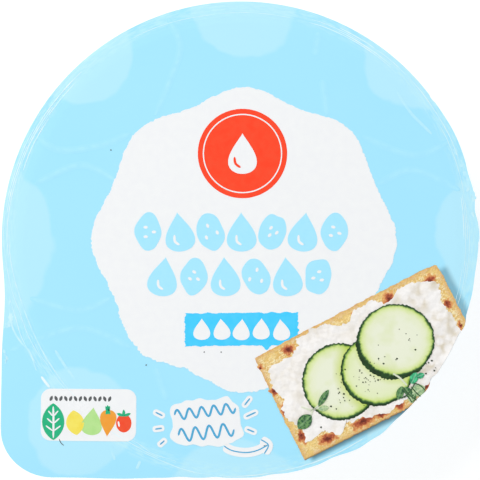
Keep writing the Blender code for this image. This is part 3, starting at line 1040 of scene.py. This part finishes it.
# Printed toasting: near-black brown in the middle, red brown round it and golden at the edge, in
# crumbs.
toast_ink, tree, shader, place = lacquered("toasted mark print")
unit = add_node(tree, "Attribute", {}, output="Vector", attribute_name="unit")
middle_share = add_node(tree, "VectorMath", {0: unit}, output="Value", operation="LENGTH")
crumb = {"Vector": place, "Scale": 1 / CRUMB_GRAIN, "Detail": 3.0, "Roughness": 0.7}
crumb = add_node(tree, "TexNoise", crumb, output="Fac")
middle_share = add_node(tree, "Math", {0: crumb, 1: 1.6, 2: middle_share}, operation="MULTIPLY_ADD")
toasted = add_node(tree, "MapRange", {0: middle_share, 1: 0.9, 2: 1.4})
browned = add_node(tree, "MapRange", {0: middle_share, 1: 1.35, 2: 1.8})
toast = add_node(tree, "MixRGB", {"Fac": toasted, "Color1": "662014", "Color2": "bb5c38"})
toast = add_node(tree, "MixRGB", {"Fac": browned, "Color1": toast, "Color2": "eab36c"})
tree.links.new(toast, shader.inputs["Base Color"])

marks = []
for seed, (middle, (width, height)) in enumerate(TOAST_MARKS):
    mark = ragged(round_shape(width * 1.3, height * 1.3), 0.5, seed, 0.6)
    marks.append(blot(middle, mark, 4, 36, BREAD_TURN))
toast_marks = gather(marks)
trim_to_lid(toast_marks)
print_piece("toasted_marks", toast_marks, toast_ink, 4)

# The curd cheese spread on the crispbread: lumps of curd in warm and cool whites, with tanned
# hollows between them and a ragged outline, which the lid's cut edge trims at the right.
CHEESE_MIDDLE = Vector((25.5, -25.0))
CHEESE_OUTLINE = (
    (11.4, -20.2), (15.1, -17.6), (20.3, -17.4), (23.4, -14.2), (26.0, -12.8), (30.0, -12.6),
    (32.6, -9.4), (39.0, -8.9), (40.5, -11.8), (43.8, -17.4), (46.5, -21.5), (43.0, -27.5),
    (38.0, -29.0), (33.0, -32.3), (28.8, -35.1), (21.9, -36.6), (20.4, -39.0), (17.2, -38.6),
    (13.4, -40.6), (12.3, -38.2), (9.0, -35.3), (8.6, -32.6), (6.3, -29.4), (6.1, -26.0),
    (10.6, -23.2),
)
CURD_GRAIN = 1.5 * MM
CURD_WANDER = 1.6 * MM
CURD_RELIEFS = ((3.2 * MM, 0.08), (1.3 * MM, 0.025))


def cheese_shape(point):
    """The spread's outline, lumpy all along, drawn in towards its middle."""
    share = (math.atan2(point.y, -point.x) / math.tau) % 1.0
    reach = through(CHEESE_OUTLINE + CHEESE_OUTLINE[:1], share)[0] - CHEESE_MIDDLE
    lumps = 0.8 * noise.noise(reach.to_3d() * 0.6) + 0.6 * noise.noise(reach.to_3d() * 1.7)
    return (reach + lumps * reach.normalized()) * point.length


# Printed curds: warm and cool whites in soft lumps, with tan hollows, most of them at the right.
cheese_ink, tree, shader, place = lacquered("curd cheese print")
wander = add_node(tree, "TexNoise", {"Vector": place, "Scale": 1 / (2 * MM), "Detail": 3.0}, output="Color")
wander = add_node(tree, "VectorMath", {0: wander, 1: (0.5, 0.5, 0.5)}, operation="SUBTRACT")
wandered = {0: wander, 1: (CURD_WANDER,) * 3, 2: place}
wandered = add_node(tree, "VectorMath", wandered, operation="MULTIPLY_ADD")
cells = {"Vector": wandered, "Scale": 1 / CURD_GRAIN, "Smoothness": 0.6}
lumps = add_node(tree, "TexVoronoi", cells, output="Distance", feature="SMOOTH_F1")
hollow = add_node(tree, "MapRange", {0: lumps, 1: 0.35, 2: 0.75})
cloud = patches(tree, place, 5 * MM, 0.35, 0.65)
curds = add_node(tree, "MixRGB", {"Fac": cloud, "Color1": "fbf9f7", "Color2": "f8f4ef"})
hollow = add_node(tree, "Math", {0: hollow, 1: cloud}, operation="MULTIPLY")
rightwards = add_node(tree, "SeparateXYZ", {0: place}, output="X")
rightwards = add_node(tree, "MapRange", {0: rightwards, 1: 30 * MM, 2: 42 * MM, 3: 0.4, 4: 1.1})
hollow = add_node(tree, "Math", {0: hollow, 1: rightwards}, operation="MULTIPLY")
curds = add_node(tree, "MixRGB", {"Fac": hollow, "Color1": curds, "Color2": "d2c6aa"})
for grain, depth in CURD_RELIEFS:
    curds = {"Fac": 1.0, "Color1": curds, "Color2": printed_relief(tree, place, grain, depth)}
    curds = add_node(tree, "MixRGB", curds, blend_type="MULTIPLY")
tree.links.new(curds, shader.inputs["Base Color"])

cheese = blot(CHEESE_MIDDLE, cheese_shape, 40, 480)
trim_to_lid(cheese)
print_piece("curd_cheese", cheese, cheese_ink, 5)

# Three slices of cucumber, the right one laid last, so that it is on top: pale flesh, green towards
# a thin dark bristly rind, and the rind's side showing below. The middle one is the greenest.

# Colours of a slice from its middle, at 0, to its rind, at 1
RIND = ((0.965, "2f5a2c"), (1.0, "173a12"))
PALE_FLESH = (
    (0.0, "ebefd9"), (0.6, "e9eed6"), (0.78, "e6ecca"), (0.87, "dbe8a9"), (0.92, "c8dc84"),
    (0.945, "8fae58"),
) + RIND
GREEN_FLESH = (
    (0.0, "e8eed0"), (0.5, "e5ecc8"), (0.78, "e2ecbe"), (0.88, "d8e69c"), (0.92, "b9d268"),
    (0.945, "86a850"),
) + RIND

# Slices: name, middle, half width and half height, shift of the side, flesh, level of the print
SLICES = (
    ("left", (20.1, -28.55), (7.6, 7.65), (0.1, -0.2), PALE_FLESH, 6),
    ("middle", (27.6, -26.2), (7.25, 7.05), (-0.12, -0.3), GREEN_FLESH, 7.5),
    ("right", (31.42, -20.25), (7.7, 7.25), (-0.4, -0.7), PALE_FLESH, 9),
)
BRISTLE = 0.12
BRISTLE_GRAIN = 0.35
SLICE_SHADE = (7.2 * MM, 9.2 * MM)


def cucumber_print(name, stops, over):
    """Printed cucumber: colours from the middle to the rind, greener by the slice that lies over it."""
    material, tree, shader, place = lacquered(name)
    unit = add_node(tree, "Attribute", {}, output="Vector", attribute_name="unit")
    share = add_node(tree, "VectorMath", {0: unit}, output="Value", operation="LENGTH")
    uneven = {"Vector": place, "Scale": 1 / (1.2 * MM), "Detail": 4.0}
    uneven = add_node(tree, "TexNoise", uneven, output="Fac")
    uneven = add_node(tree, "MapRange", {0: uneven, 1: 0.0, 2: 1.0, 3: -0.05, 4: 0.05})
    share = add_node(tree, "Math", {0: uneven, 1: share}, operation="ADD")
    flesh = add_node(tree, "ValToRGB", {0: share}, output="Color")
    ramp = flesh.node.color_ramp
    ramp.elements[0].color = linear(stops[0][1])
    ramp.elements[1].color = linear(stops[-1][1])
    for position, colour in stops[1:-1]:
        ramp.elements.new(position).color = linear(colour)
    tints = [(patches(tree, place, 3.5 * MM, 0.5, 0.75, 0.4, Detail=2.0), "e4efb0")]
    if over:
        shade = {0: distance(tree, place, over), 1: SLICE_SHADE[0], 2: SLICE_SHADE[1], 3: 1.0, 4: 0.0}
        tints.append((add_node(tree, "MapRange", shade), "e2ec96"))
    for share, colour in tints:
        tint = {"Fac": share, "Color1": flesh, "Color2": colour}
        flesh = add_node(tree, "MixRGB", tint, blend_type="MULTIPLY")
    tree.links.new(flesh, shader.inputs["Base Color"])
    return material


rind_ink = printing_ink("cucumber rind print", "0f2c0a", "1f4a1a")
for place, (name, middle, (half_width, half_height), side, flesh, level) in enumerate(SLICES):
    over = SLICES[place + 1][1] if place + 1 < len(SLICES) else None
    shape = ragged(round_shape(2 * half_width, 2 * half_height), BRISTLE, level, BRISTLE_GRAIN)
    side_print = blot(Vector(middle) + Vector(side), shape, 8, 240)
    trim_to_lid(side_print)
    print_piece(name + "_slice_side", side_print, rind_ink, level)
    face_print = blot(middle, shape, 12, 240)
    trim_to_lid(face_print)
    face_ink = cucumber_print(name + " cucumber print", flesh, over)
    print_piece(name + "_slice", face_print, face_ink, level + 0.75)

# Ground pepper over the slices: near-black specks, strewn thickest on the middle one, with single
# larger ones.
PEPPER = (
    ((25.2, -27.9), (1.5, 1.4), 30), ((20.3, -29.3), (0.9, 1.9), 16),
    ((28.6, -23.6), (1.1, 0.9), 7), ((34.0, -19.9), (1.6, 0.7), 6), ((22.6, -32.8), (1.3, 0.6), 4),
    ((38.6, -25.2), (0.9, 1.2), 4),
)
PEPPER_SIZE = (0.12, 0.34)
PEPPERCORNS = (
    (27.8, -28.3), (28.9, -25.0), (20.9, -31.1), (18.3, -33.6), (31.6, -24.0), (35.3, -22.2),
    (38.6, -24.4), (39.1, -26.4), (37.4, -27.0), (16.3, -37.8),
)
PEPPERCORN_SIZE = 0.42

pepper_ink = printing_ink("ground pepper print", "152804", "2c3a1c")
draw = random.Random(5)
specks = []
for middle, spread_out, count in PEPPER:
    for seed in range(count):
        place = (draw.gauss(middle[0], spread_out[0]), draw.gauss(middle[1], spread_out[1]))
        size = draw.uniform(*PEPPER_SIZE)
        speck = curd_shape(size, size * draw.uniform(0.6, 1.0), seed)
        specks.append(blot(place, speck, 1, 8, draw.uniform(0, 180)))
for seed, place in enumerate(PEPPERCORNS):
    specks.append(blot(place, curd_shape(PEPPERCORN_SIZE, 0.8 * PEPPERCORN_SIZE, seed), 1, 10))
print_piece("pepper", gather(specks), pepper_ink, 11)

# Two sprigs of herb: small pointed leaves on thin pale stems, dark green and pale green. The right
# one has two in bright teal too, and dark twigs over them.
STEMS = (
    ((12.3, -33.7), (14.5, -34.3), (15.9, -33.3)),
    ((14.3, -35.3), (14.8, -34.2), (16.9, -33.8)),
    ((30.8, -27.0), (32.2, -27.9), (33.6, -29.4)),
)
STEM_WIDTH = 0.35
TWIGS = (
    ((32.7, -29.6), (34.0, -31.2), (35.6, -32.4)),
    ((33.0, -31.9), (34.4, -30.3), (35.2, -28.8)),
    ((34.4, -29.6), (35.6, -31.0), (36.4, -31.6)),
    ((32.4, -32.0), (33.6, -31.5), (34.6, -32.8)),
    ((35.0, -28.9), (36.3, -29.4), (37.3, -30.4)),
)
TWIG_WIDTH = 0.24

# Leaves: middle, width and height, turn in degrees
DARK_LEAVES = (
    ((13.0, -36.7), (2.7, 3.8), -44), ((16.8, -31.9), (1.3, 3.9), -32),
    ((32.2, -30.9), (1.5, 2.8), -15), ((33.9, -30.7), (1.5, 2.6), 38),
    ((34.9, -31.9), (1.0, 2.0), -20),
)
PALE_LEAVES = (
    ((16.8, -34.0), (1.1, 2.2), -78), ((35.9, -30.4), (2.4, 3.0), -60),
    ((34.4, -32.0), (1.3, 2.0), 20),
)
TEAL_LEAVES = (((35.0, -27.9), (1.7, 2.5), -24), ((36.3, -27.4), (1.2, 1.7), -70))


def herb_print(name, dark, light, vein_colour):
    """Printed herb leaf: two greens in blotches, with a paler vein down the middle."""
    material, tree, shader, place = lacquered(name)
    unit = add_node(tree, "Attribute", {}, output="Vector", attribute_name="unit")
    aside = add_node(tree, "SeparateXYZ", {0: unit}, output="X")
    aside = add_node(tree, "Math", {0: aside}, operation="ABSOLUTE")
    vein = add_node(tree, "MapRange", {0: aside, 1: 0.04, 2: 0.2, 3: 0.5, 4: 0.0})
    blade = patches(tree, place, 0.7 * MM, 0.42, 0.58, Roughness=0.7)
    green = add_node(tree, "MixRGB", {"Fac": blade, "Color1": dark, "Color2": light})
    green = add_node(tree, "MixRGB", {"Fac": vein, "Color1": green, "Color2": vein_colour})
    tree.links.new(green, shader.inputs["Base Color"])
    return material


stem_ink = printing_ink("herb stem print", "d3dcc0", "dfe5d0")
print_piece("herb_stems", gather([stroke(route, STEM_WIDTH, 16, 0.1) for route in STEMS]), stem_ink, 12)
for name, leaves, colours in (
    ("dark", DARK_LEAVES, ("1f5434", "6b9a5c", "8fb584")),
    ("pale", PALE_LEAVES, ("8cb083", "bcd39f", "d5e3c0")),
    ("teal", TEAL_LEAVES, ("2b8a62", "4cc78c", "a6dcbf")),
):
    blades = gather([blot(middle, leaf_shape(*size), 3, 24, turn) for middle, size, turn in leaves])
    trim_to_lid(blades)
    print_piece(name + "_herb_leaves", blades, herb_print(name + " herb leaf print", *colours), 13)

twig_ink = printing_ink("herb twig print", "2c4f2e", "3f6340")
print_piece("herb_twigs", gather([stroke(route, TWIG_WIDTH, 16, 0.2) for route in TWIGS]), twig_ink, 14)

# Dirt on the film: four dark specks and a short hair by the label.
SPECKS = ((-26.0, 18.0), (-7.2, -22.7), (-3.8, -22.7), (-18.9, -25.3))
SPECK_SIZE = 0.28
HAIR_WIDTH = 0.16
HAIR = ((-36.4, -40.2), (-36.1, -40.9), (-35.5, -41.5))

dirt = [blot(middle, round_shape(SPECK_SIZE, SPECK_SIZE), 1, 10) for middle in SPECKS]
print_piece("specks", gather(dirt), grey_ink, 2)
print_piece("hair", stroke(HAIR, HAIR_WIDTH, 12, 0.3), grey_ink, 2)

# The print on the tub's wall, front and back: a white field in soft lobes with a row of the same
# curds and drops, printed on the moulded wall over its blue sleeve.
WALL_BOTTOM = FOOT_ROUND * (1 - math.sin(math.radians(WALL_DRAFT)))
WALL_BOTTOM_RADIUS = FOOT_OUTER + FOOT_ROUND * math.cos(math.radians(WALL_DRAFT))
WALL_TOP = SHOULDER_HEIGHT - SHOULDER_ROUND * (1 - math.sin(math.radians(WALL_DRAFT)))
WALL_TOP_RADIUS = SHOULDER_INNER + SHOULDER_ROUND * (1 - math.cos(math.radians(WALL_DRAFT)))
WALL_PRINT_HEIGHT = 19.5 * MM
WALL_FIELD = (36.0, 20.0)
WALL_FIELD_LOBE = 0.05
WALL_DROP = (5.2, 8.0)
WALL_CURD = (5.2, 7.36)
WALL_SHAPES = 5
WALL_PITCH = 6.1
WALL_INK_STEP = 0.02 * MM


def wall_field_shape(point):
    """The outline of the wall's white field: an ellipse in eight shallow lobes, slightly torn."""
    angle = math.atan2(point.y, point.x)
    torn = 0.02 * noise.noise(Vector((26 * math.cos(angle), 26 * math.sin(angle), 3.0)))
    swell = 1 + WALL_FIELD_LOBE * math.cos(8 * angle) + torn * point.length**6
    return Vector((point.x * WALL_FIELD[0] / 2, point.y * WALL_FIELD[1] / 2)) * swell


def wall_radius(height):
    """The radius of the straight part of the tub's wall at a height."""
    share = (height - WALL_BOTTOM) / (WALL_TOP - WALL_BOTTOM)
    return WALL_BOTTOM_RADIUS + share * (WALL_TOP_RADIUS - WALL_BOTTOM_RADIUS)


def wrap_print(name, mesh, ink, level, direction):
    """Wraps a flat print, in millimetres, round the tub's wall as a closed layer and makes it a piece."""
    for vert in mesh.verts:
        height = WALL_PRINT_HEIGHT + vert.co.y * MM
        turn = math.radians(direction) + vert.co.x * MM / wall_radius(WALL_PRINT_HEIGHT)
        reach = wall_radius(height) + level * WALL_INK_STEP
        vert.co = (reach * math.cos(turn), reach * math.sin(turn), height)
    close_layer(mesh, lambda place: Vector((place.x, place.y, 0.0)).normalized() * INK_THICKNESS)
    return finish_piece(name, mesh, ink, 60)


for side, direction in (("front", 270), ("back", 90)):
    wrap_print(side + "_wall_field", blot((0, 0), wall_field_shape, 14, 300), white_ink, 1, direction)
    row_shapes = []
    for place in range(WALL_SHAPES):
        middle = (WALL_PITCH * (place - WALL_SHAPES // 2), 0.0)
        shape = drop_shape(*WALL_DROP) if place % 2 else curd_shape(*WALL_CURD, place)
        row_shapes.append(blot(middle, shape, 6, 48, 8 * math.sin(place)))
    wrap_print(side + "_wall_row", gather(row_shapes), light_ink, 3, direction)

# The studio: a plain pale floor that glows a little, an even white sky, a softbox high at the upper
# left and a smaller one low behind it, which rakes across the lid and brings out its relief. The
# camera looks straight down on the lid, which fills its view.

PHOTO_SIZE = 480
LID_IN_PHOTO = 2 * 238.4
LID_ABOVE_MIDDLE = 0.6
CAMERA_DISTANCE = 0.6
CAMERA_SENSOR = 36.0
SKY_STRENGTH = 0.58
FLOOR_GLOW = 0.72
FLOOR_HALF_SIZE = 6.0
FLOOR_GAP = 0.05 * MM

# Softboxes: name, place, size in metres, power in watts
SOFTBOXES = (
    ("high_softbox", (-0.38, 0.32, 0.85), 0.4, 4.4),
    ("raking_softbox", (-0.85, 0.62, 0.42), 0.3, 1.8),
)

floor_material, tree, shader = new_material("pale studio floor", 0.9, 1.45)
shader.inputs["Base Color"].default_value = linear("adadad")
shader.inputs["Emission Color"].default_value = (1.0, 1.0, 1.0, 1.0)
shader.inputs["Emission Strength"].default_value = FLOOR_GLOW
floor_mesh = bmesh.new()
bmesh.ops.create_grid(floor_mesh, x_segments=1, y_segments=1, size=FLOOR_HALF_SIZE)
bmesh.ops.translate(floor_mesh, verts=floor_mesh.verts, vec=(0, 0, -FLOOR_GAP))
floor_data = bpy.data.meshes.new("floor")
floor_mesh.to_mesh(floor_data)
floor_mesh.free()
floor_data.materials.append(floor_material)
floor = bpy.data.objects.new("floor", floor_data)
bpy.context.scene.collection.objects.link(floor)

world = bpy.data.worlds.new("sky")
world.use_nodes = True
world.node_tree.nodes["Background"].inputs["Color"].default_value = (1.0, 1.0, 1.0, 1.0)
world.node_tree.nodes["Background"].inputs["Strength"].default_value = SKY_STRENGTH
bpy.context.scene.world = world

for name, place, size, power in SOFTBOXES:
    softbox_data = bpy.data.lights.new(name, "AREA")
    softbox_data.shape = "SQUARE"
    softbox_data.size = size
    softbox_data.energy = power
    softbox = bpy.data.objects.new(name, softbox_data)
    softbox.location = place
    softbox.rotation_euler = (-softbox.location).to_track_quat("-Z", "Y").to_euler()
    bpy.context.scene.collection.objects.link(softbox)

mm_per_pixel = 2 * LID_RADIUS / LID_IN_PHOTO
camera_data = bpy.data.cameras.new("camera")
camera_data.sensor_width = CAMERA_SENSOR
camera_data.lens = CAMERA_SENSOR * CAMERA_DISTANCE / (PHOTO_SIZE * mm_per_pixel)
camera = bpy.data.objects.new("camera", camera_data)
camera.location = (0.0, -LID_ABOVE_MIDDLE * mm_per_pixel, TUB_TOP + CAMERA_DISTANCE)
bpy.context.scene.collection.objects.link(camera)
bpy.context.scene.camera = camera
bpy.context.scene.view_settings.view_transform = "Standard"
